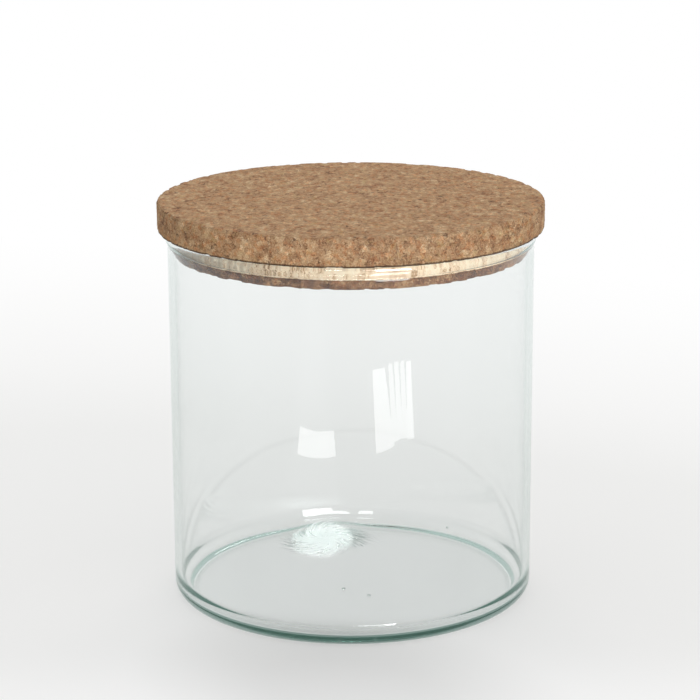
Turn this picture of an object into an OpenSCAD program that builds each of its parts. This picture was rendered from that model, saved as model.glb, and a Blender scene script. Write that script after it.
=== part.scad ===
// Glass storage jar with a stepped cork lid
//
// A straight glass jar with a rolled rim and a pushed-up base. The lid is two cork discs, one glued
// under the other: the wide one rests on the rim and overhangs it, and the narrow one is the plug that
// drops into the mouth. Sizes are in millimetres. The origin is the centre of the ring that the jar
// stands on, with Z up along the axis that every piece shares.

/* [Glass wall] */
// Outside diameter of the straight wall
jar_d = 128; // [90:1:180]
// Height of the glass, from the table to the top of the rim
jar_h = 132; // [70:1:260]
// Thickness of the straight wall
wall_t = 2.3; // [1.6:0.1:4]

/* [Rolled rim] */
// How far the rim stands out past the outside of the wall
rim_out = 0.7; // [0.3:0.1:1.5]
// How far the rim stands into the mouth past the inside of the wall
rim_in = 0.3; // [0.1:0.1:1]
// Height of the upright middle of the rim, between its round top and its round foot
rim_straight_h = 1.2; // [0.4:0.1:4]
// Radius of the hollow where the rim runs out into the outside of the wall
rim_blend_r = 1.5; // [0.5:0.1:4]
// Depth of round glass missing at the top of the rim, where it is level and the lid rests
rim_land_h = 0.1; // [0.04:0.02:0.3]

/* [Glass base] */
// Thickness of the floor where it meets the wall
floor_t = 2.2; // [2:0.1:8]
// Extra thickness of the floor at its centre
floor_swell_h = 0.2; // [0.2:0.1:3]
// Outside radius of the heel, where the wall turns in to the base
heel_r = 3.3; // [2:0.1:12]
// Inside radius where the wall turns in to the floor
floor_corner_r = 6.8; // [1:0.1:12]
// Width of the level ring that the jar stands on
foot_w = 3; // [1.5:0.5:12]
// Height that the middle of the base is pushed up above the table
push_up_h = 0.8; // [0.8:0.1:8]

/* [Cork lid] */
// Thickness of the wide disc that rests on the rim
disc_t = 10; // [5:0.5:25]
// How far the wide disc reaches past the outside of the rim
disc_overhang = 2.8; // [0:0.1:12]
// Radius of the worn edges of the wide disc
disc_edge_r = 1; // [0.3:0.1:2]
// Depth of the plug below the top of the rim
plug_t = 8.5; // [4:0.5:30]
// Gap all round between the plug and the narrowest part of the mouth
plug_gap = 0.3; // [0.2:0.05:0.8]
// Height and depth of the bevel that leads the plug into the mouth
plug_bevel = 0.8; // [0.3:0.1:2]

/* [Hidden] */

// Sides of a full circle, and of the wide shallow arcs of the floor and the push-up
$fn = 128;
shallow_fn = 2400;

wall_r = jar_d / 2;
bore_r = wall_r - wall_t;
wall_mid_r = wall_r - wall_t / 2;
rim_t = wall_t + rim_out + rim_in;
rim_round_r = rim_t / 2;
rim_mid_r = wall_r + rim_out - rim_round_r;
rim_top_z = jar_h + rim_land_h - rim_round_r;
rim_foot_z = rim_top_z - rim_straight_h;
mouth_r = bore_r - rim_in;
foot_outer_r = wall_r - heel_r;
foot_inner_r = foot_outer_r - foot_w;
floor_flat_r = bore_r - floor_corner_r;
disc_r = wall_r + rim_out + disc_overhang;
plug_r = mouth_r - plug_gap;

// Radius of the sphere whose cap is cap_h high on a circle of radius cap_r
function cap_sphere_r(cap_r, cap_h) = (cap_r * cap_r + cap_h * cap_h) / (2 * cap_h);

// Half section of that cap, sitting on base_z
module cap_section(cap_r, cap_h, base_z) {
    ball_r = cap_sphere_r(cap_r, cap_h);
    intersection() {
        translate([0, base_z + cap_h - ball_r]) circle(r = ball_r, $fn = shallow_fn);
        translate([0, base_z]) square([ball_r, cap_h]);
    }
}

// Half section of a round bar from low_z to high_z whose lower edge is an arc
module round_footed_section(r, edge_r, low_z, high_z) {
    translate([0, low_z + edge_r]) square([r, high_z - low_z - edge_r]);
    translate([0, low_z]) square([r - edge_r, edge_r]);
    intersection() {
        translate([r - edge_r, low_z + edge_r]) circle(r = edge_r);
        translate([0, low_z]) square([r, edge_r]);
    }
}

// Straight wall, heel and pushed-up base, up to the middle of the rim
module wall_and_base_section() {
    difference() {
        round_footed_section(wall_r, heel_r, 0, rim_foot_z);
        difference() {
            round_footed_section(bore_r, floor_corner_r, floor_t, jar_h);
            cap_section(floor_flat_r, push_up_h + floor_swell_h, floor_t);
        }
        cap_section(foot_inner_r, push_up_h, 0);
    }
}

// Rolled rim: round at the top and the foot, upright between, with a level land on top
module rim_section() {
    difference() {
        union() {
            translate([rim_mid_r, rim_top_z]) circle(r = rim_round_r);
            translate([rim_mid_r - rim_round_r, rim_foot_z]) square([rim_t, rim_straight_h]);
            translate([rim_mid_r, rim_foot_z]) circle(r = rim_round_r);
        }
        translate([rim_mid_r - rim_round_r, jar_h]) square([rim_t, rim_round_r]);
    }
}

// Hollow that joins the rim's foot to the outside of the wall
module rim_blend_section() {
    hollow_r = wall_r + rim_blend_r;
    reach = rim_round_r + rim_blend_r;
    hollow_z = rim_foot_z - sqrt(reach * reach - pow(hollow_r - rim_mid_r, 2));
    difference() {
        polygon([[wall_mid_r, hollow_z], [hollow_r, hollow_z], [rim_mid_r, rim_foot_z]]);
        translate([hollow_r, hollow_z]) circle(r = rim_blend_r);
    }
}

// The whole glass body, one piece
module glass_jar() {
    color([0.78, 0.88, 0.85, 0.4])
    rotate_extrude() {
        wall_and_base_section();
        rim_section();
        rim_blend_section();
    }
}

// Wide cork disc with worn edges, resting on the rim
module lid_disc() {
    color([0.76, 0.58, 0.4])
    rotate_extrude() {
        translate([0, jar_h]) square([disc_r - disc_edge_r, disc_t]);
        translate([0, jar_h + disc_edge_r]) square([disc_r, disc_t - 2 * disc_edge_r]);
        for (edge_z = [jar_h + disc_edge_r, jar_h + disc_t - disc_edge_r])
            translate([disc_r - disc_edge_r, edge_z]) circle(r = disc_edge_r);
    }
}

// Narrow cork disc under the wide one, bevelled where it enters the mouth
module lid_plug() {
    foot_z = jar_h - plug_t;
    color([0.68, 0.48, 0.33])
    rotate_extrude()
        polygon([
            [0, foot_z], [plug_r - plug_bevel, foot_z], [plug_r, foot_z + plug_bevel],
            [plug_r, jar_h], [0, jar_h]
        ]);
}

glass_jar();
lid_disc();
lid_plug();
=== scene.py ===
"""Glass storage jar with a stepped cork lid: its glass, its cork and the table it is shown on."""

import math

import bpy
import numpy as np
from bpy.props import FloatProperty, FloatVectorProperty, IntProperty, PointerProperty
from bpy.types import Operator, Panel, PropertyGroup
from mathutils import Matrix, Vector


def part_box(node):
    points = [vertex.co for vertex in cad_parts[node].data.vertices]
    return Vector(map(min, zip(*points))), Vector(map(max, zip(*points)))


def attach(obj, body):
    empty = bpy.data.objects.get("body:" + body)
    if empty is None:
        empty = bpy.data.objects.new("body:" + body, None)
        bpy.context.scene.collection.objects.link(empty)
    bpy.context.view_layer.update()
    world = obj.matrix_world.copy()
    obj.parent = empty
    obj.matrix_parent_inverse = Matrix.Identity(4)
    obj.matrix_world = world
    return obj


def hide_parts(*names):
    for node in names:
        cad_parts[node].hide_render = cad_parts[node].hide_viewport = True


bl_info = {
    "name": "Glass jar with cork lid",
    "version": (1, 0, 0),
    "blender": (4, 5, 0),
    "location": "View3D > Sidebar > Cork jar",
    "description": "Builds the finished glass, the granulated cork lid and the table of a storage jar",
    "category": "Add Mesh",
}

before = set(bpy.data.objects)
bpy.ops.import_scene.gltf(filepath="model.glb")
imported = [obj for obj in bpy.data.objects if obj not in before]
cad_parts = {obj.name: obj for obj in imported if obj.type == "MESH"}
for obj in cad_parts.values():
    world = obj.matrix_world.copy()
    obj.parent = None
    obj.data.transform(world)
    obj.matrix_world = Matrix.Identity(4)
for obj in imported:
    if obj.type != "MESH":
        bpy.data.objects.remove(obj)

MM = 0.001
FULL_TURN = 2 * math.pi
WHITE = (1.0, 1.0, 1.0)

# The solid model's own box, and where each of its pieces lies
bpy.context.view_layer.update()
JAR_LOW, JAR_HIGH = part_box("glass_jar")
DISC_LOW, DISC_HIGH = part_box("lid_disc")
PLUG_LOW, PLUG_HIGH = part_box("lid_plug")


def half_width(low, high):
    """The larger half width of a round piece, in metres."""
    return max(high[0] - low[0], high[1] - low[1]) / 2


RIM_R = half_width(JAR_LOW, JAR_HIGH)
DISC_R = half_width(DISC_LOW, DISC_HIGH)
PLUG_R = half_width(PLUG_LOW, PLUG_HIGH)
RIM_Z = JAR_HIGH[2]

# The shear mark in the floor: its middle, its half width, its length, and how softly it runs out
SHEAR_MARK = (-0.0095, 0.039)
MARK_WIDE = 11 * MM
MARK_LONG = 34 * MM
MARK_SOFT = 0.4 * MM

# The seed bubbles in the glass: (across, along, up) of the middle, and the radius, in millimetres
SEEDS = [(-3.2, -13.5, 1.95, 0.72), (5.8, -20.0, 1.85, 0.68), (37.5, 50.3, 2.7, 0.5)]
SEED_ROWS = 9
SEED_STEPS = 14

# Points of a profile that are nearer to each other than this are one point
SAME_POINT = 1e-7

# Width of the finely stepped border of a cork disc's level faces, and how deep those faces are pitted
# as a share of how deep the side is
CORK_BORDER = 4 * MM
LEVEL_SHARE = 0.12

# The round table top: its radius, its steps round, and how far it lies under the standing ring
TABLE_R = 6.0
TABLE_STEPS = 96
TABLE_DROP = 0.1 * MM

# Width of the camera's sensor in millimetres, which its lens goes with
SENSOR_WIDTH = 36


# Sizes and colours that a user would change


class GlassSettings(PropertyGroup):
    """Sizes and tint of the glass body"""

    wall_inset: FloatProperty(
        name="Wall inset",
        description="How far the straight wall lies inside the outside of the rolled rim",
        default=0.7 * MM, min=0.2 * MM, max=2 * MM, unit="LENGTH",
    )
    wall: FloatProperty(
        name="Wall", description="Thickness of the straight wall",
        default=2.3 * MM, min=1.5 * MM, max=4 * MM, unit="LENGTH",
    )
    rim: FloatProperty(
        name="Rim", description="Thickness of the rolled rim across the glass",
        default=3.3 * MM, min=2 * MM, max=6 * MM, unit="LENGTH",
    )
    rim_straight: FloatProperty(
        name="Rim straight", description="Height of the upright middle of the rolled rim",
        default=1.2 * MM, min=0.4 * MM, max=4 * MM, unit="LENGTH",
    )
    rim_blend: FloatProperty(
        name="Rim blend", description="Radius of the hollow between the rim and the outside of the wall",
        default=1.5 * MM, min=0.5 * MM, max=4 * MM, unit="LENGTH",
    )
    heel: FloatProperty(
        name="Heel", description="Outside radius where the wall turns in to the base",
        default=4.5 * MM, min=2 * MM, max=12 * MM, unit="LENGTH",
    )
    floor: FloatProperty(
        name="Floor", description="Thickness of the floor beside the wall",
        default=2.2 * MM, min=2 * MM, max=8 * MM, unit="LENGTH",
    )
    floor_rise: FloatProperty(
        name="Floor rise", description="How far the floor's middle rises above its edge",
        default=1.0 * MM, min=0.0, max=8 * MM, unit="LENGTH",
    )
    corner: FloatProperty(
        name="Corner", description="Inside radius where the wall turns in to the floor",
        default=6.8 * MM, min=1 * MM, max=12 * MM, unit="LENGTH",
    )
    foot: FloatProperty(
        name="Standing ring", description="Width of the level ring that the jar stands on",
        default=1.8 * MM, min=0.5 * MM, max=12 * MM, unit="LENGTH",
    )
    swirl: FloatProperty(
        name="Swirl", description="Height of the shear mark left in the floor where the glass was cut",
        default=2.4 * MM, min=0.0, max=4 * MM, unit="LENGTH",
    )
    push_up: FloatProperty(
        name="Push-up", description="How far the middle of the base is pushed up above the table",
        default=0.8 * MM, min=0.1 * MM, max=8 * MM, unit="LENGTH",
    )
    waver: FloatProperty(
        name="Waver", description="How far the glass surfaces wander from true round",
        default=0.05 * MM, min=0.0, max=0.3 * MM, unit="LENGTH",
    )
    tint: FloatVectorProperty(
        name="Tint", description="Colour that a long way through the glass takes on",
        subtype="COLOR", default=(0.40, 0.60, 0.55), min=0.0, max=1.0,
    )
    tint_depth: FloatProperty(
        name="Tint strength", description="How strongly a metre of glass takes up the tint",
        default=26.0, min=0.0, max=60.0,
    )
    around: IntProperty(
        name="Steps round", description="Number of steps round the jar", default=320, min=48, max=400,
    )


class CorkSettings(PropertyGroup):
    """Sizes of the cork crumbs and of the lid's edges"""

    granule: FloatProperty(
        name="Granule", description="Usual width of a cork granule",
        default=2.7 * MM, min=1 * MM, max=6 * MM, unit="LENGTH",
    )
    pitting: FloatProperty(
        name="Pitting", description="How deep the edges are pitted between granules",
        default=0.35 * MM, min=0.0, max=1 * MM, unit="LENGTH",
    )
    edge: FloatProperty(
        name="Worn edge", description="Radius of the worn edges of the wide disc",
        default=1.0 * MM, min=0.2 * MM, max=3 * MM, unit="LENGTH",
    )
    bevel: FloatProperty(
        name="Plug bevel", description="Height and depth of the bevel at the foot of the plug",
        default=0.8 * MM, min=0.2 * MM, max=3 * MM, unit="LENGTH",
    )
    around: IntProperty(
        name="Steps round", description="Number of steps round each disc", default=840, min=96, max=900,
    )


class StageSettings(PropertyGroup):
    """The camera, the table and the room's light"""

    lens: FloatProperty(
        name="Lens", description="Focal length of the camera in millimetres",
        default=124.46, min=20, max=400,
    )
    distance: FloatProperty(
        name="Distance", description="Level distance from the jar's axis to the camera",
        default=0.8266, min=0.2, max=4.0, unit="LENGTH",
    )
    height: FloatProperty(
        name="Height", description="Height of the camera above the table",
        default=0.3084, min=0.0, max=3.0, unit="LENGTH",
    )
    aside: FloatProperty(
        name="Aside", description="How far the camera stands to the right of the jar's axis",
        default=-0.0005, min=-1.0, max=1.0, unit="LENGTH",
    )
    pitch: FloatProperty(
        name="Pitch", description="How far the camera looks down",
        default=math.radians(14.994), min=0.0, max=1.5, subtype="ANGLE",
    )
    roll: FloatProperty(
        name="Roll", description="Turn of the camera about its line of sight",
        default=math.radians(-0.28), min=-0.5, max=0.5, subtype="ANGLE",
    )
    table: FloatVectorProperty(
        name="Table", description="Colour of the table near the jar",
        subtype="COLOR", default=(0.90, 0.895, 0.875), min=0.0, max=1.0,
    )
    fill: FloatProperty(
        name="Fill", description="Strength of the even light from all round",
        default=0.45, min=0.0, max=2.0,
    )
    front: FloatProperty(
        name="Front",
        description="Brightness of the room in front of the jar, as gloss and glass show it",
        default=0.4, min=0.0, max=2.0,
    )


# Mesh code


def arc(centre_r, centre_z, radius, start_deg, end_deg, steps):
    """Points of a circular arc in the (r, z) half plane.

    A point is the centre plus the radius times (cos a, sin a), with a going evenly from start to end.
    """
    a = np.radians(np.linspace(start_deg, end_deg, steps))
    return np.column_stack([centre_r + radius * np.cos(a), centre_z + radius * np.sin(a)])


def line(r0, z0, r1, z1, steps):
    """Evenly spaced points of a straight stretch in the (r, z) half plane, both ends included."""
    t = np.linspace(0, 1, steps)[:, None]
    return np.array([r0, z0]) * (1 - t) + np.array([r1, z1]) * t


def bell(reach, rise, base_z, steps):
    """A middle raised as half a cosine wave: z = base + rise (1 + cos(pi r / reach)) / 2."""
    r = np.linspace(0, reach, steps)
    return np.column_stack([r, base_z + rise * (1 + np.cos(np.pi * r / reach)) / 2])


def join(*stretches):
    """One profile from stretches laid end to end, with each doubled point kept once."""
    points = np.vstack(stretches)
    step = np.linalg.norm(np.diff(points, axis=0), axis=1)
    return points[np.concatenate([[True], step > SAME_POINT])]


def turned_grid(profile, around):
    """Points of the profile turned about Z: (r cos t, r sin t, z), as an array of rows by steps by 3."""
    t = np.linspace(0, FULL_TURN, around, endpoint=False)
    r = profile[:, 0][:, None]
    z = profile[:, 1][:, None] * np.ones_like(t)
    return np.stack([r * np.cos(t), r * np.sin(t), z], axis=-1)


def turned_faces(rows, around):
    """Faces of a turned grid whose first and last rows are single points on the axis.

    Each cell between the inner rows is one four-sided face, and three-sided faces close both ends.
    """
    i = np.arange(rows - 3)[:, None]
    j = np.arange(around)[None, :]
    k = (j + 1) % around
    here = 1 + i * around
    there = here + around
    quads = np.stack([here + j, there + j, there + k, here + k], axis=-1).reshape(-1, 4)
    last = 1 + (rows - 3) * around
    j, k = j[0], k[0]
    top = np.stack([np.zeros_like(j), 1 + j, 1 + k], axis=-1)
    bottom = np.stack([last + j, np.full_like(j, last + around), last + k], axis=-1)
    return quads, np.vstack([top, bottom])


def grid_points(grid):
    """The grid as a list of points, with the first and last rows drawn in to one point each."""
    inner = grid[1:-1].reshape(-1, 3)
    return np.vstack([grid[0].mean(axis=0), inner, grid[-1].mean(axis=0)])


def mesh_object(name, points, quads, triangles, smooth=True):
    """A mesh object at the origin from arrays of points, four-sided and three-sided faces."""
    loops = np.concatenate([quads.ravel(), triangles.ravel()]).astype(np.int32)
    sizes = np.concatenate([np.full(len(quads), 4), np.full(len(triangles), 3)]).astype(np.int32)
    starts = np.concatenate([[0], np.cumsum(sizes)[:-1]]).astype(np.int32)
    mesh = bpy.data.meshes.new(name)
    mesh.vertices.add(len(points))
    mesh.vertices.foreach_set("co", points.astype(np.float32).ravel())
    mesh.loops.add(len(loops))
    mesh.loops.foreach_set("vertex_index", loops)
    mesh.polygons.add(len(sizes))
    mesh.polygons.foreach_set("loop_start", starts)
    mesh.polygons.foreach_set("use_smooth", np.full(len(sizes), smooth))
    mesh.update(calc_edges=True)
    mesh.validate()
    piece = bpy.data.objects.new(name, mesh)
    bpy.context.scene.collection.objects.link(piece)
    return piece


def scatter(cubes, salt):
    """A repeatable random number from 0 to 1 for each whole-numbered cube of space.

    The cube's three numbers are mixed into one by large factors and shifts, another way for each salt.
    """
    c = cubes.astype(np.int64)
    h = (c[..., 0] * 73856093) ^ (c[..., 1] * 19349663) ^ (c[..., 2] * 83492791) ^ (salt * 2654435761)
    h = (h ^ (h >> 13)) * 1274126177
    h = (h ^ (h >> 16)) & 0xFFFFFF
    return h / float(0xFFFFFF)


def granules(points, width):
    """How each point lies among random granules of the given width.

    Space is cut into cubes, each with one random seed point. A granule is all that lies nearest its
    seed. Returns the gap between the nearest and second nearest seed distances, in widths, which is 0
    on a joint between granules, and the nearest granule's own random number.
    """
    p = points / width
    home = np.floor(p)
    # Both start farther off than any seed of the 27 cubes that are looked at
    nearest = np.full(len(p), 9.0)
    second = np.full(len(p), 9.0)
    number = np.zeros(len(p))
    for step in np.ndindex(3, 3, 3):
        cube = home + np.array(step) - 1
        seed = cube + np.stack([scatter(cube, salt) for salt in (1, 2, 3)], axis=-1)
        far = np.linalg.norm(p - seed, axis=-1)
        closer = far < nearest
        second = np.where(closer, nearest, np.minimum(second, far))
        number = np.where(closer, scatter(cube, 4), number)
        nearest = np.where(closer, far, nearest)
    return second - nearest, number


def outward(grid):
    """Unit normals of a turned grid, from the cross product of its two step directions."""
    along = np.gradient(grid, axis=0)
    around = np.roll(grid, -1, axis=1) - np.roll(grid, 1, axis=1)
    normal = np.cross(along, around)
    length = np.linalg.norm(normal, axis=-1, keepdims=True)
    return normal / np.maximum(length, 1e-12)


# Shader code

# A weight that takes any sum of ray kinds to 0 or less once a ray has left a matt surface
PAST_MATT = 3.0


class Wire:
    """A shader value that can be used in sums: each operator adds the Math or Vector Math node for it.

    Beside a vector, a number stands for three equal ones, and a tuple gives all three.
    """

    def __init__(self, tree, socket):
        self.tree = tree
        self.socket = socket

    def plain(self):
        """Whether this is one number and not a vector or colour."""
        return self.socket.type in {"VALUE", "INT"}

    def combine(self, operation, a, b):
        """A Math node of a and b, or a Vector Math node where one of them is a vector."""
        vector = not all(x.plain() for x in (a, b) if isinstance(x, Wire))
        kind = "ShaderNodeVectorMath" if vector else "ShaderNodeMath"
        if vector:
            a, b = (x if isinstance(x, (Wire, tuple)) else (x, x, x) for x in (a, b))
        return add_node(self.tree, kind, {"operation": operation}, {0: a, 1: b})

    def __add__(self, other):
        return self.combine("ADD", self, other)

    def __radd__(self, other):
        return self.combine("ADD", other, self)

    def __sub__(self, other):
        return self.combine("SUBTRACT", self, other)

    def __rsub__(self, other):
        return self.combine("SUBTRACT", other, self)

    def __mul__(self, other):
        return self.combine("MULTIPLY", self, other)

    def __rmul__(self, other):
        return self.combine("MULTIPLY", other, self)

    def __pow__(self, other):
        return self.combine("POWER", self, other)

    def __abs__(self):
        return self.combine("ABSOLUTE", self, 0.0)

    def out(self, name):
        """Another output of the node that this value comes from."""
        return Wire(self.tree, self.socket.node.outputs[name])

    def parts(self):
        """The X, Y and Z of a vector."""
        x = add_node(self.tree, "ShaderNodeSeparateXYZ", {}, {0: self})
        return x, x.out("Y"), x.out("Z")

    def red(self):
        """The red of a colour, as a number."""
        return add_node(self.tree, "ShaderNodeSeparateColor", {}, {"Color": self}, "Red")


def add_node(tree, kind, settings=None, sockets=None, out=0):
    """Adds a node of a kind, with its settings first and then the values or links of its sockets.

    A colour is given without its alpha, which is always 1.
    """
    node = tree.nodes.new(kind)
    for key, value in (settings or {}).items():
        if key == "stops":
            ramp_elements = node.color_ramp.elements
            while len(ramp_elements) < len(value):
                ramp_elements.new(0.5)
            for element, (place, colour) in zip(ramp_elements, value):
                element.position = place
                element.color = (*colour, 1)
        else:
            setattr(node, key, value)
    for key, value in (sockets or {}).items():
        socket = node.inputs[key]
        if isinstance(value, Wire):
            tree.links.new(value.socket, socket)
        else:
            socket.default_value = (*value, 1) if socket.type == "RGBA" else value
    return Wire(tree, node.outputs[out])


def empty_tree(owner):
    """The cleared node tree of a material, a world or a lamp."""
    owner.use_nodes = True
    owner.node_tree.nodes.clear()
    return owner.node_tree


def set_output(surface, volume=None, kind="Material"):
    """Connects the output of a material, or of another kind of owner: World or Light."""
    node = surface.tree.nodes.new("ShaderNodeOutput" + kind)
    surface.tree.links.new(surface.socket, node.inputs["Surface"])
    if volume is not None:
        surface.tree.links.new(volume.socket, node.inputs["Volume"])


def between(value, low, high):
    """0 below low, 1 above high and a smooth step between."""
    return add_node(
        value.tree, "ShaderNodeMapRange", {"interpolation_type": "SMOOTHSTEP"},
        {"Value": value, "From Min": low, "From Max": high},
    )


def clamp(value):
    """The value, kept from 0 to 1."""
    return add_node(value.tree, "ShaderNodeClamp", {}, {"Value": value})


def blend_colour(share, a, b, mode="MIX"):
    """Colour a where share is 0 and colour b, laid on by the mode, where it is 1."""
    return add_node(
        share.tree, "ShaderNodeMix", {"data_type": "RGBA", "blend_type": mode, "clamp_factor": True},
        {0: share, 6: a, 7: b}, out=2,
    )


def blend_shader(share, a, b):
    """Shader a where share is 0 and shader b where it is 1."""
    return add_node(share.tree, "ShaderNodeMixShader", {}, {0: share, 1: a, 2: b})


def ramp(value, stops):
    """Colour of a value along a row of stops."""
    return add_node(value.tree, "ShaderNodeValToRGB", {"stops": stops}, {"Fac": value})


def noise(vector, scale, detail=3.0, rough=0.55, out=0):
    """Cloudy noise with the given number of clouds to a unit."""
    return add_node(vector.tree, "ShaderNodeTexNoise", {}, {
        "Vector": vector, "Scale": scale, "Detail": detail, "Roughness": rough,
    }, out)


def cells(vector, scale, feature="F1", out=0):
    """Cells round random points, the given number to a unit."""
    return add_node(vector.tree, "ShaderNodeTexVoronoi", {"feature": feature}, {
        "Vector": vector, "Scale": scale,
    }, out)


def seen_share(tree):
    """1 for rays that show a surface and 0 for rays that only light it."""
    rays = add_node(tree, "ShaderNodeLightPath")
    seen = rays.out("Is Camera Ray") + rays.out("Is Glossy Ray") + rays.out("Is Transmission Ray")
    return clamp(seen - rays.out("Diffuse Depth") * PAST_MATT)


# Materials

# Cork tones from a crevice to the palest crumb: of the wide disc, of the plug, darker as painted shade,
# and of the plug's band of painted light
TOP_PALETTE = [
    (0.15, (0.14, 0.062, 0.028)), (0.30, (0.32, 0.166, 0.079)), (0.42, (0.43, 0.246, 0.121)),
    (0.52, (0.49, 0.30, 0.154)), (0.62, (0.54, 0.345, 0.185)), (0.74, (0.65, 0.46, 0.27)),
    (0.88, (0.77, 0.60, 0.39)),
]
# The plug's tones are darker than the disc's: painted shade, where the plug lies under the disc's
# overhang
SHADED_PLUG_PALETTE = [
    (0.25, (0.034, 0.011, 0.003)), (0.38, (0.102, 0.037, 0.012)), (0.50, (0.184, 0.078, 0.029)),
    (0.62, (0.272, 0.136, 0.058)), (0.76, (0.422, 0.272, 0.143)),
]
# Pale cream tones of painted light, where the rim's round glass focuses light on the plug
LENS_LIGHT_PALETTE = [
    (0.2, (0.22, 0.11, 0.05)), (0.34, (0.64, 0.40, 0.23)), (0.46, (0.98, 0.76, 0.55)),
    (0.66, (1.0, 0.87, 0.70)),
]
# What the fine grain multiplies each spot of the cork by
GRAIN_PALETTE = [(0.28, (0.55, 0.50, 0.46)), (0.5, (0.98, 0.98, 0.98)), (0.72, (1.38, 1.36, 1.33))]

# How white the table shows at each share of TABLE_REACH from the spot TABLE_SPOT in front of the axis
TABLE_SPOT = 0.10
TABLE_REACH = 0.7
TABLE_LEAN = 0.35
TABLE_WHITE = [
    (0.04, 0.34), (0.10, 0.55), (0.20, 0.49), (0.42, 0.49),
    (0.57, 0.68), (0.66, 0.77), (0.84, 0.93), (0.97, 1.0),
]
# Where along Y the table's white ends in front, where it is whole, and where the near glow is over
WHITE_END, WHITE_WHOLE, GLOW_OVER = -0.60, -0.13, -0.055
NEAR_GLOW = 0.22


def mark_finish(place, floor_z):
    """The relief and the dullness of the shear mark, both 0 away from it.

    Fine streaks curl round the mark. They are noise on a plane whose first axis is the angle round
    the mark plus the distance from it, and whose second axis is that distance. The relief fades out
    between 8 and 22 mm from the middle. The dull patch is an oval, ragged where the streaks cross
    its border.
    """
    east, north, up = (place - (*SHEAR_MARK, floor_z)).parts()
    far = (east * east + north * north) ** 0.5
    turn = north.combine("ARCTAN2", north, east)
    strand = add_node(place.tree, "ShaderNodeCombineXYZ", {}, {
        0: turn * 4.0 + far * 300.0, 1: far * 70.0, 2: 0.0,
    })
    streaks = noise(strand, 1.6, 3.0, 0.6)
    near = 1 - between(far, 8 * MM, 22 * MM)
    low = 1 - between(up, 3 * MM, 4 * MM)
    oval = ((east + 2 * MM) ** 2.0 + north * north * 0.40) ** 0.5
    ragged = between(streaks + 0.21 - oval * 22.0, 0.40, 0.58)
    dull = ragged * (1 - between(oval, 9 * MM, 13.5 * MM)) * low
    return streaks * near * low, dull


def clear_glass(settings):
    """Clear soda glass, faintly green along a long way through, whose shadow is pale.

    The shear mark in its floor is streaked and a little dull. Light that has been thrown about inside
    the glass more than twice is let out, with the green of a long way through.
    """
    material = bpy.data.materials.new("clear_glass")
    tree = empty_tree(material)
    relief, dull = mark_finish(add_node(tree, "ShaderNodeTexCoord", out="Object"), settings.floor)
    bump = add_node(tree, "ShaderNodeBump", {}, {
        "Strength": 0.5, "Distance": 0.5 * MM, "Height": relief,
    })
    rays = add_node(tree, "ShaderNodeLightPath")
    glass = add_node(tree, "ShaderNodeBsdfPrincipled", {}, {
        "Base Color": WHITE, "Roughness": dull * 0.40, "IOR": 1.52, "Transmission Weight": 1.0,
        "Normal": bump,
    })
    shade = add_node(tree, "ShaderNodeBsdfTransparent", {}, {"Color": (0.965, 0.98, 0.975)})
    surface = blend_shader(rays.out("Is Shadow Ray"), glass, shade)
    let_out = add_node(tree, "ShaderNodeBsdfTransparent", {}, {"Color": (0.46, 0.585, 0.55)})
    trapped = rays.combine("GREATER_THAN", rays.out("Glossy Depth"), 2.5)
    surface = blend_shader(trapped, surface, let_out)
    volume = add_node(tree, "ShaderNodeVolumeAbsorption", {}, {
        "Color": settings.tint, "Density": settings.tint_depth,
    })
    set_output(surface, volume)
    return material


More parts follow.
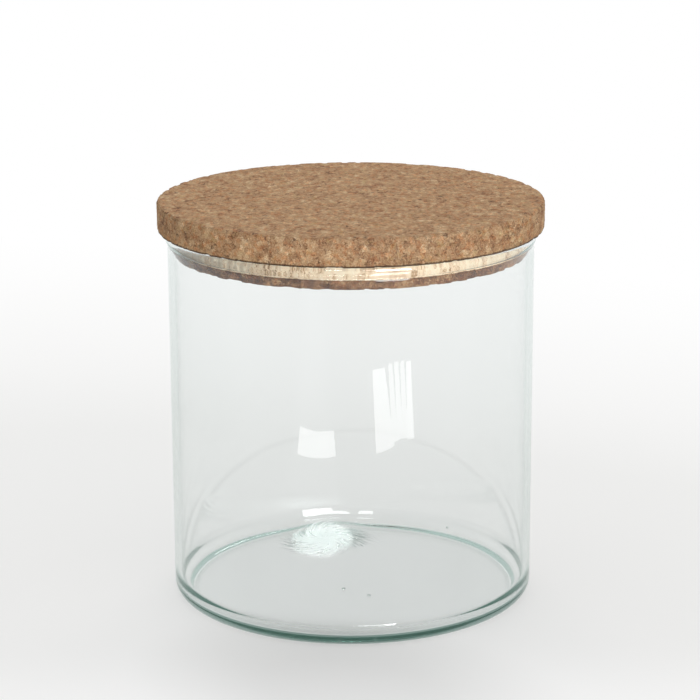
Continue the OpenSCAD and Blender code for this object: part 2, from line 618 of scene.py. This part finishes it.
def granulated_cork(name, settings, palette, sanding, depth, shade_reach, lens_light=0.0):
    """Cork crumbs pressed together: mixed tans, torn fibres, thin dark crevices, grain and pits.

    sanding is how much smoother the level faces are than the cut edges, and depth scales the relief.
    shade_reach is how far from the rim's level the cork is darkened: painted shade of the gap under the
    disc's edge. lens_light is how strongly a pale band round the side, just under that shade, is painted
    light: the light that the rim's round glass focuses on the plug.
    """
    material = bpy.data.materials.new(name)
    tree = empty_tree(material)
    place = add_node(tree, "ShaderNodeTexCoord", out="Object")
    up = add_node(tree, "ShaderNodeTexCoord", out="Normal").parts()[2]
    level = between(up, 0.75, 0.95) * sanding

    # Crumbs are cells, half as long again along Y as across, whose borders are torn by noise
    per_granule = 1 / settings.granule
    spot = place * (per_granule, 0.66 * per_granule, per_granule)
    torn = spot + (noise(spot, 1.7, 4.0, 0.6, "Color") - 0.5) * 1.1
    dice = cells(torn, 1.25, out="Color").red()
    gap = cells(torn, 1.25, "DISTANCE_TO_EDGE")
    broad = between(noise(torn, 0.8, 2.0), 0.3, 0.7)
    soft = between(noise(torn, 0.6, 4.0, 0.62), 0.28, 0.72)
    mid = between(noise(torn, 2.2, 3.0, 0.65), 0.30, 0.70)
    fine = between(noise(torn, 4.5, 3.0, 0.7), 0.25, 0.75)
    grain = noise(spot, 10.0, 3.0, 0.7)

    # The tone of a spot on a cut edge and on a sanded face, with orange and olive stains
    cut = dice * 0.30 + soft * 0.24 + fine * 0.46
    sanded = dice * 0.18 + broad * 0.22 + soft * 0.14 + mid * 0.30 + fine * 0.16
    tone = cut * (1 - level) + sanded * level
    colour = ramp(tone, palette)
    orange = between(noise(spot + 7.3, 1.4, 4.0, 0.65), 0.50, 0.62) * 0.75
    colour = blend_colour(orange, colour, (1.08, 0.82, 0.66), "MULTIPLY")
    olive = between(noise(spot + 3.1, 0.9, 3.0, 0.6), 0.54, 0.68) * 0.6
    colour = blend_colour(olive, colour, (0.93, 0.98, 0.80), "MULTIPLY")
    colour = blend_colour(0.8 - level * 0.35, colour, ramp(grain, GRAIN_PALETTE), "MULTIPLY")

    # Crevices between some of the crumbs, and round pits
    patchy = between(noise(spot, 0.8, 2.0), 0.45, 0.62)
    crevice = (1 - between(gap, 0.0, 0.10)) * patchy * (1 - level * 0.4)
    colour = blend_colour(crevice * 0.62, colour, (0.13, 0.062, 0.030))
    pit = 1 - between(cells(torn + 1.7, 0.75) + (fine - 0.5) * 0.35, 0.08, 0.19)
    colour = blend_colour(pit * 0.72, colour, (0.085, 0.038, 0.020))

    # Painted shade at the level of the rim, in the gap under the disc's edge, and a band of painted
    # light from 1.9 to 5 mm under it, where the rim's round glass focuses light on the plug
    rough_up = place.parts()[2] + (fine - 0.5) * (0.3 * MM)
    # Painted shade: the cork is darkened near the rim's level, where the gap under the disc lies in
    # shadow
    gap_shade = 1 - between(abs(rough_up - RIM_Z), shade_reach * 0.6, shade_reach)
    colour = blend_colour(gap_shade * 0.85, colour, (0.040, 0.020, 0.011))
    # Painted light: a pale band round the plug, standing in for the light that the rim's round glass
    # focuses on it
    if lens_light:
        lens_light_band = between(rough_up, RIM_Z - 5.0 * MM, RIM_Z - 4.6 * MM) * lens_light
        lens_light_band = lens_light_band * (1 - between(rough_up, RIM_Z - 2.3 * MM, RIM_Z - 1.9 * MM))
        colour = blend_colour(lens_light_band, colour, ramp(tone * 0.75 + grain * 0.25, LENS_LIGHT_PALETTE))

    height = grain * 0.30 + fine * 0.45 + between(gap, 0.0, 0.16) * 0.30 + dice * 0.25 - pit * 0.9
    bump = add_node(tree, "ShaderNodeBump", {}, {
        "Strength": 0.6 * depth, "Distance": 0.35 * MM, "Height": height * (1 - level * 0.7),
    })
    set_output(add_node(tree, "ShaderNodeBsdfPrincipled", {}, {
        "Base Color": colour, "Roughness": 0.84 - grain * 0.12, "Specular IOR Level": 0.25,
        "Normal": bump,
    }))
    return material


def table_material(settings):
    """Pale table, lit and shaded near the jar, that fades to the white of the room further off.

    The share of white grows with the distance from a spot in front of the jar, measured in a frame
    that leans to the left, so the table stays grey longest on that side. Towards the camera the white
    gives way to a faint glow of the table, which stops just in front of the jar.
    """
    material = bpy.data.materials.new("pale_table")
    tree = empty_tree(material)
    place = add_node(tree, "ShaderNodeTexCoord", out="Object")
    across, along, _ = place.parts()
    back = along + TABLE_SPOT
    aside = across + back * TABLE_LEAN
    away = (aside * aside + back * back) ** 0.5
    share = ramp(away * (1 / TABLE_REACH), [(at, (grey, grey, grey)) for at, grey in TABLE_WHITE])
    white_share = share.red() * seen_share(tree) * between(along, WHITE_END, WHITE_WHOLE)
    white_share = white_share + (1 - between(along, WHITE_WHOLE, GLOW_OVER)) * NEAR_GLOW
    speck = noise(place, 900.0, 2.0)
    matt = add_node(tree, "ShaderNodeBsdfDiffuse", {}, {
        "Color": blend_colour(speck * 0.05, settings.table, (0.82, 0.82, 0.81)),
    })
    rays = add_node(tree, "ShaderNodeLightPath")
    white = add_node(tree, "ShaderNodeEmission", {}, {
        "Color": WHITE, "Strength": 1 - rays.out("Is Transmission Ray") * 0.04,
    })
    set_output(blend_shader(white_share, matt, white))
    return material


# Shapes of the pieces. The last number of each stretch of a profile is how many points it has.


def glass_profile(s):
    """Half section of the glass, from the floor's middle up inside, over the rim and back underneath."""
    wall_r = RIM_R - s.wall_inset
    bore_r = wall_r - s.wall
    round_r = s.rim / 2
    rim_r = RIM_R - round_r
    top_z = RIM_Z - round_r
    foot_z = top_z - s.rim_straight
    flat_r = bore_r - s.corner
    ring_out = wall_r - s.heel
    ring_in = ring_out - s.foot
    meet_deg = math.degrees(math.acos((rim_r - bore_r) / round_r))
    meet_z = foot_z - round_r * math.sin(math.radians(meet_deg))
    hollow_r = wall_r + s.rim_blend
    reach = round_r + s.rim_blend
    hollow_z = foot_z - math.sqrt(reach**2 - (hollow_r - rim_r) ** 2)
    lean_deg = math.degrees(math.atan2(foot_z - hollow_z, rim_r - hollow_r))
    return join(
        bell(flat_r, s.floor_rise, s.floor, 60),
        arc(flat_r, s.floor + s.corner, s.corner, -90, 0, 14),
        line(bore_r, s.floor + s.corner, bore_r, meet_z, 60),
        arc(rim_r, foot_z, round_r, 180 + meet_deg, 180, 8),
        arc(rim_r, top_z, round_r, 180, 0, 18),
        arc(rim_r, foot_z, round_r, 0, lean_deg - 180, 7),
        arc(hollow_r, hollow_z, s.rim_blend, lean_deg, 180, 7),
        line(wall_r, hollow_z, wall_r, s.heel, 40),
        arc(ring_out, s.heel, s.heel, 0, -90, 14),
        line(ring_out, 0, ring_in, 0, 5),
        bell(ring_in, s.push_up, 0, 50)[::-1],
    )


def wander(grid, amount, top_z):
    """Draws a glass grid in by a small sum of slow waves round and up it, so that no face is quite true.

    Each wave is a share times the sine of whole turns round plus some turns up, and 2.55 is the sum of
    the shares. The shift lies between 0 and amount and goes inward along r. It fades out over the
    12 mm that end 8 mm under the rim, and over the 6 mm above the table.
    """
    x, y, z = grid[..., 0], grid[..., 1], grid[..., 2]
    t = np.arctan2(y, x)
    r = np.hypot(x, y)
    up = z / MM
    waves = (
        np.sin(3 * t + up * 0.05) + 0.7 * np.sin(5 * t - up * 0.11 + 1.3)
        + 0.5 * np.sin(9 * t + up * 0.21 + 4.0) + 0.35 * np.sin(2 * t + up * 0.4 + r * 300)
    ) / 2.55
    keep = np.clip((top_z - 8 * MM - z) / (12 * MM), 0, 1) * np.clip(z / (6 * MM), 0, 1)
    pull = amount * (waves + 1) / 2 * keep
    moved = grid.copy()
    moved[..., 0] -= pull * np.cos(t)
    moved[..., 1] -= pull * np.sin(t)
    return moved


def shear_mark(grid, height, floor_z):
    """Raises the floor at the shear mark into a soft bank that climbs towards the wall behind it.

    The bank is b = height exp(-u^2) (3 v^2 - 2 v^3) high, where u runs across it and v along it,
    from 0 at its foot to 1 at the wall. A point d above the floor rises by s(b - d) - s(-d), where
    s(a) = (a + sqrt(a^2 + e^2)) / 2 and e is MARK_SOFT, so the bank runs out softly into the corner.
    """
    x, y, z = grid[..., 0], grid[..., 1], grid[..., 2]
    u = (x - SHEAR_MARK[0]) / MARK_WIDE
    v = np.clip((y - SHEAR_MARK[1] + MARK_LONG / 2) / MARK_LONG, 0, 1)
    bank = height * np.exp(-(u**2)) * (3 - 2 * v) * v**2
    above = z - floor_z

    def soft(a):
        return (a + np.sqrt(a**2 + MARK_SOFT**2)) / 2

    raised = grid.copy()
    raised[..., 2] += soft(bank - above) - soft(-above)
    return raised


def seed_bubbles():
    """Points and faces of the small air bubbles in the glass: balls whose faces look inwards.

    A point is the middle plus the radius times (sin a cos t, sin a sin t, cos a).
    """
    a = np.linspace(0, math.pi, SEED_ROWS)
    ball = grid_points(turned_grid(np.column_stack([np.sin(a), np.cos(a)]), SEED_STEPS))
    quads, fans = turned_faces(SEED_ROWS, SEED_STEPS)
    seeds = np.array(SEEDS) * MM
    points = (seeds[:, None, :3] + ball[None] * seeds[:, None, 3:]).reshape(-1, 3)
    shift = np.arange(len(seeds))[:, None, None] * len(ball)
    quads = (quads[None] + shift).reshape(-1, 4)[:, ::-1]
    fans = (fans[None] + shift).reshape(-1, 3)[:, ::-1]
    return points, quads, fans


def cork_profile(radius, low_z, high_z, top_edge, low_edge, low_cut):
    """Half section of a cork disc, from the middle of its top round to the middle of its underside.

    A low_cut edge is a straight bevel, and any other edge is a quarter circle.
    """
    flat_r = radius - top_edge
    foot_r = radius - low_edge
    if low_cut:
        foot = line(radius, low_z + low_edge, foot_r, low_z, 5)
    else:
        foot = arc(foot_r, low_z + low_edge, low_edge, 0, -90, 6)
    return join(
        line(0, high_z, flat_r - CORK_BORDER, high_z, 34),
        line(flat_r - CORK_BORDER, high_z, flat_r, high_z, 9),
        arc(flat_r, high_z - top_edge, top_edge, 90, 0, 6),
        line(radius, high_z - top_edge, radius, low_z + low_edge, 20),
        foot,
        line(foot_r, low_z, foot_r - CORK_BORDER, low_z, 8),
        line(foot_r - CORK_BORDER, low_z, 0, low_z, 12),
    )


def cork_grid(profile, around, width, depth, level_share, low_z, high_z):
    """A turned cork grid with its faces sunk a little between crumbs and crumb by crumb.

    The sinking is depth times a mix of how near the point is to a joint and the crumb's own random
    number, for the crumbs and for finer ones less than half as wide, and it is level_share as deep on
    faces that point up or down. Within about 1.3 mm of the top and foot edges it is up to 0.3 times as
    deep again, and about a third of the crumbs have broken away there, by up to 1.1 times depth.
    """
    grid = turned_grid(profile, around)
    normal = outward(grid)
    gap, number = granules(grid.reshape(-1, 3), width)
    # The finer crumbs are looked up half a metre off, so that their joints don't follow the others
    fine_gap, fine_number = granules(grid.reshape(-1, 3) + 0.5, width * 0.45)
    joint = np.clip(1 - gap / 0.22, 0, 1) ** 1.5
    fine_joint = np.clip(1 - fine_gap / 0.3, 0, 1)
    sink = 0.35 * joint + 0.3 * number + 0.2 * fine_joint + 0.15 * fine_number
    sink = sink.reshape(grid.shape[:2])
    broken = np.clip((number.reshape(sink.shape) - 0.62) / 0.2, 0, 1)
    facing = np.abs(normal[..., 2]) ** 2
    r = np.hypot(grid[..., 0], grid[..., 1])
    outside = grid[..., 0].max() - r
    off_edge = np.minimum(high_z - grid[..., 2], grid[..., 2] - low_z)
    near_edge = np.exp(-(outside**2 + off_edge**2) / (1.3 * MM) ** 2)
    sink = sink * (1 - facing * (1 - level_share)) + near_edge * (0.3 * sink + 1.1 * broken)
    return grid - normal * (depth * sink)[..., None]


# Lamps. Their sizes are in metres, side_deg is to the right of the camera, up_deg is above the table.

# The height that the windows face, and the height of the shear mark
AIM_Z = 0.07
MARK_Z = 0.004

# Windows that light the jar but don't show in it: name, side_deg, up_deg, distance, width, height,
# watts and colour. The mouth light lights only the plug, through the mouth.
LIT_PLUG = "lit_by_mouth_light"
WINDOWS = [
    ("window_front", 20, 10, 1.5, 0.80, 0.36, 8.6, (1.0, 0.975, 0.94)),
    ("mouth_light", 25, 3, 1.2, 0.9, 0.25, 14.0, (1.0, 0.98, 0.95)),
    ("window_back", 176, 42, 2.0, 1.50, 1.30, 19.5, (1.0, 0.99, 0.97)),
]
# Panes that show in the gloss and light nothing else, written the same way
PANES = [
    ("pane_right", 21, 35, 1.5, 0.78, 0.72, 20.0),
    ("pane_left", -10.5, 33, 1.5, 0.24, 0.56, 5.0),
    ("pane_rim", 25, 12, 1.5, 0.56, 0.80, 40.0),
]
# The narrow beam that whitens the dull shear mark, and how far it opens
BEAM = ("beam_on_mark", 176, 36, 0.35, 0.05, 0.05, 0.36)
BEAM_SPREAD = math.radians(10)

# Sunlit slats on the table in front: the share of the row where each lies, its width and strength
SLATS = [
    (-0.60, 0.052, 3.8), (-0.06, 0.017, 3.4), (0.22, 0.017, 3.8), (0.50, 0.017, 3.4),
    (0.80, 0.021, 4.0),
]
# The sizes of three patches that lie on one another, so that their border is soft
SOFT_GROWTH = [0.75, 1.0, 1.3]


def area_lamp(name, place, width, height, watts, colour):
    """An oblong lamp at a place, which the camera doesn't see."""
    data = bpy.data.lights.new(name, "AREA")
    data.shape = "RECTANGLE"
    data.size, data.size_y = width, height
    data.energy = watts
    data.color = colour
    lamp = bpy.data.objects.new(name, data)
    lamp.matrix_world = place
    lamp.visible_camera = False
    bpy.context.scene.collection.objects.link(lamp)
    return lamp


def only_gloss(lamp):
    """Lets a lamp show in gloss and glass but light nothing, straight or bent through the glass.

    It doesn't show in a reflection of a reflection either.
    """
    lamp.visible_diffuse = False
    rays = add_node(empty_tree(lamp.data), "ShaderNodeLightPath")
    again = between(rays.out("Glossy Depth"), 1.2, 1.8)
    direct = clamp(1 - rays.out("Diffuse Depth") * PAST_MATT - again)
    set_output(add_node(rays.tree, "ShaderNodeEmission", {}, {"Strength": direct}), kind="Light")


def window(name, side_deg, up_deg, away, width, height, watts, colour=WHITE, aim=(0, 0, AIM_Z)):
    """A lamp that faces the point aim from side_deg right of the camera and up_deg above the table."""
    place = (
        Matrix.Translation(aim)
        @ Matrix.Rotation(math.radians(side_deg), 4, "Z")
        @ Matrix.Rotation(math.pi / 2 - math.radians(up_deg), 4, "X")
        @ Matrix.Translation((0, 0, away))
    )
    return area_lamp(name, place, width, height, watts, colour)


def patch(name, side_deg, away, aside, wide, deep, slant_deg, strength):
    """A bright patch that lies on the table, side_deg right of the camera and away from the axis."""
    place = (
        Matrix.Rotation(math.radians(side_deg), 4, "Z")
        @ Matrix.Translation((0, -away, 0.5 * MM))
        @ Matrix.Rotation(-math.radians(slant_deg), 4, "Z")
        @ Matrix.Translation((aside, 0, 0))
        @ Matrix.Rotation(math.pi, 4, "X")
    )
    lamp = area_lamp(name, place, wide, deep, strength * math.pi * wide * deep, WHITE)
    lamp.visible_transmission = False
    only_gloss(lamp)


# Operators, one for each piece or group


class JAR_OT_glass(Operator):
    """Builds the glass body, turned from its half section, in place of its plain solid"""

    bl_idname = "jar.glass"
    bl_label = "Glass body"

    def execute(self, context):
        s = context.scene.jar_glass
        profile = glass_profile(s)
        grid = wander(turned_grid(profile, s.around), s.waver, RIM_Z)
        # The first quarter of the rows is the floor inside and the foot of its corner
        inside = len(profile) // 4
        grid[:inside] = shear_mark(grid[:inside], s.swirl, s.floor)
        quads, fans = turned_faces(len(profile), s.around)
        points = grid_points(grid)
        seeds, seed_quads, seed_fans = seed_bubbles()
        body = mesh_object(
            "glass_body", np.vstack([points, seeds]),
            np.vstack([quads, seed_quads + len(points)]), np.vstack([fans, seed_fans + len(points)]),
        )
        body.data.materials.append(clear_glass(s))
        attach(body, "jar")
        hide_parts("glass_jar")
        return {"FINISHED"}


class JAR_OT_lid(Operator):
    """Builds the two cork discs of the lid in place of their plain solids"""

    bl_idname = "jar.lid"
    bl_label = "Cork lid"

    def execute(self, context):
        s = context.scene.jar_cork
        wide = cork_profile(
            DISC_R, DISC_LOW[2], DISC_HIGH[2], top_edge=s.edge, low_edge=s.edge, low_cut=False,
        )
        # The disc is darkened within 1 mm of the rim's level: painted shade of the gap under its edge
        stuff = granulated_cork("cork_disc", s, TOP_PALETTE, sanding=1.0, depth=0.8, shade_reach=1.0 * MM)
        self.add("cork_disc", wide, s, "lid_disc", stuff, deeper=1.3)
        plug = cork_profile(
            PLUG_R, PLUG_LOW[2], PLUG_HIGH[2], top_edge=0.2 * MM, low_edge=s.bevel, low_cut=True,
        )
        # The plug: darker tones and a darker band near the disc as painted shade, and a band of painted
        # light under the rim
        stuff = granulated_cork(
            "cork_plug", s, SHADED_PLUG_PALETTE, sanding=0.2, depth=1.0, shade_reach=2.1 * MM, lens_light=0.9,
        )
        piece = self.add("cork_plug", plug, s, "lid_plug", stuff, deeper=1.9)
        # The mouth light lights what is in its collection, which comes with the stage
        if LIT_PLUG in bpy.data.collections:
            bpy.data.collections[LIT_PLUG].objects.link(piece)
        return {"FINISHED"}

    def add(self, name, profile, s, node, stuff, deeper):
        """Turns one cork disc from its profile, with pits deeper times the usual depth."""
        low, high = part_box(node)
        grid = cork_grid(profile, s.around, s.granule, s.pitting * deeper, LEVEL_SHARE, low[2], high[2])
        quads, fans = turned_faces(len(profile), s.around)
        piece = mesh_object(name, grid_points(grid), quads, fans)
        piece.data.materials.append(stuff)
        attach(piece, "lid")
        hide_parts(node)
        return piece


class JAR_OT_stage(Operator):
    """Adds the table, the lights, the room's even light and the camera"""

    bl_idname = "jar.stage"
    bl_label = "Table, light and camera"

    def execute(self, context):
        s = context.scene.jar_stage
        self.table(s)
        self.room(context.scene, s)
        self.windows()
        self.sun_patches()
        self.camera(context.scene, s)
        context.scene.view_settings.view_transform = "Standard"
        return {"FINISHED"}

    def table(self, s):
        """A wide round table top: a fan of three-sided faces round its middle point."""
        t = np.linspace(0, FULL_TURN, TABLE_STEPS, endpoint=False)
        z = np.full_like(t, -TABLE_DROP)
        ring = np.column_stack([TABLE_R * np.cos(t), TABLE_R * np.sin(t), z])
        points = np.vstack([ring, [0, 0, -TABLE_DROP]])
        j = np.arange(TABLE_STEPS)
        fan = np.stack([np.full_like(j, TABLE_STEPS), j, (j + 1) % TABLE_STEPS], axis=-1)
        top = mesh_object("table_top", points, np.zeros((0, 4), int), fan, smooth=False)
        top.data.materials.append(table_material(s))

    def room(self, scene, s):
        """The room: even light for the surfaces, and a brighter back than front for gloss and glass.

        It is dark for rays that left a matt surface and went through the glass.
        """
        world = bpy.data.worlds.new("room_light")
        tree = empty_tree(world)
        even = add_node(tree, "ShaderNodeBackground", {}, {
            "Color": (0.97, 0.985, 1.0), "Strength": s.fill,
        })
        along = add_node(tree, "ShaderNodeTexCoord", out="Generated").parts()[1]
        behind = between(along, -0.2, 0.3)
        white = add_node(tree, "ShaderNodeBackground", {}, {
            "Color": WHITE, "Strength": s.front + behind * (1 - s.front),
        })
        rays = add_node(tree, "ShaderNodeLightPath")
        bent = clamp(rays.out("Is Transmission Ray") * rays.out("Diffuse Depth"))
        dark = add_node(tree, "ShaderNodeBackground", {}, {"Color": (0, 0, 0), "Strength": 0.0})
        light = blend_shader(bent, blend_shader(seen_share(tree), even, white), dark)
        set_output(light, kind="World")
        scene.world = world

    def windows(self):
        """A low window in front, a high one behind, the light on the plug, and what the gloss shows."""
        lamps = {row[0]: window(*row) for row in WINDOWS}
        for lamp in lamps.values():
            lamp.visible_glossy = lamp.visible_transmission = False
        lamps["mouth_light"].light_linking.receiver_collection = bpy.data.collections.new(LIT_PLUG)
        for row in PANES:
            only_gloss(window(*row))
        beam = window(*BEAM, aim=(*SHEAR_MARK, MARK_Z))
        beam.data.spread = BEAM_SPREAD
        only_gloss(beam)

    def sun_patches(self):
        """Sunlit patches of the table in front of the jar, seen only as reflections in its wall.

        The slats on the right fan out along their row, and a soft patch and a long one lie on the left.
        """
        for i, (share, wide, strength) in enumerate(SLATS):
            patch(
                f"slat_{i}", side_deg=22, away=0.363 + 0.007 * share, aside=0.010 + 0.0735 * share,
                wide=wide, deep=0.135, slant_deg=3.6 - 17.3 * share, strength=strength,
            )
        for i, grow in enumerate(SOFT_GROWTH):
            patch(
                f"soft_{i}", side_deg=-19.5, away=0.292, aside=0.0,
                wide=0.080 * grow, deep=0.030 * grow, slant_deg=0, strength=4.0,
            )
            patch(
                f"long_{i}", side_deg=-22, away=0.40, aside=0.0,
                wide=0.085 * grow, deep=0.36, slant_deg=0, strength=0.22,
            )

    def camera(self, scene, s):
        """The camera in front of the jar, which looks down at it a little."""
        data = bpy.data.cameras.new("view_of_jar")
        data.sensor_width = SENSOR_WIDTH
        data.lens = s.lens
        data.dof.use_dof = False
        camera = bpy.data.objects.new("view_of_jar", data)
        camera.matrix_world = (
            Matrix.Translation((s.aside, -s.distance, s.height))
            @ Matrix.Rotation(math.pi / 2 - s.pitch, 4, "X")
            @ Matrix.Rotation(s.roll, 4, "Z")
        )
        scene.collection.objects.link(camera)
        scene.camera = camera


class JAR_PT_panel(Panel):
    """Lists the jar's operators and settings in the sidebar"""

    bl_label = "Glass jar with cork lid"
    bl_space_type = "VIEW_3D"
    bl_region_type = "UI"
    bl_category = "Cork jar"

    def draw(self, context):
        for operator, settings in SECTIONS:
            box = self.layout.box()
            box.operator(operator)
            group = getattr(context.scene, settings)
            for key in group.__annotations__:
                box.prop(group, key)


SECTIONS = [("jar.stage", "jar_stage"), ("jar.glass", "jar_glass"), ("jar.lid", "jar_cork")]
SETTINGS = {"jar_stage": StageSettings, "jar_glass": GlassSettings, "jar_cork": CorkSettings}
CLASSES = [*SETTINGS.values(), JAR_OT_stage, JAR_OT_glass, JAR_OT_lid, JAR_PT_panel]


def register():
    for cls in CLASSES:
        bpy.utils.register_class(cls)
    for name, group in SETTINGS.items():
        setattr(bpy.types.Scene, name, PointerProperty(type=group))


def unregister():
    for name in SETTINGS:
        delattr(bpy.types.Scene, name)
    for cls in reversed(CLASSES):
        bpy.utils.unregister_class(cls)


def main():
    register()
    bpy.ops.jar.stage()
    bpy.ops.jar.glass()
    bpy.ops.jar.lid()


if __name__ == "__main__":
    main()
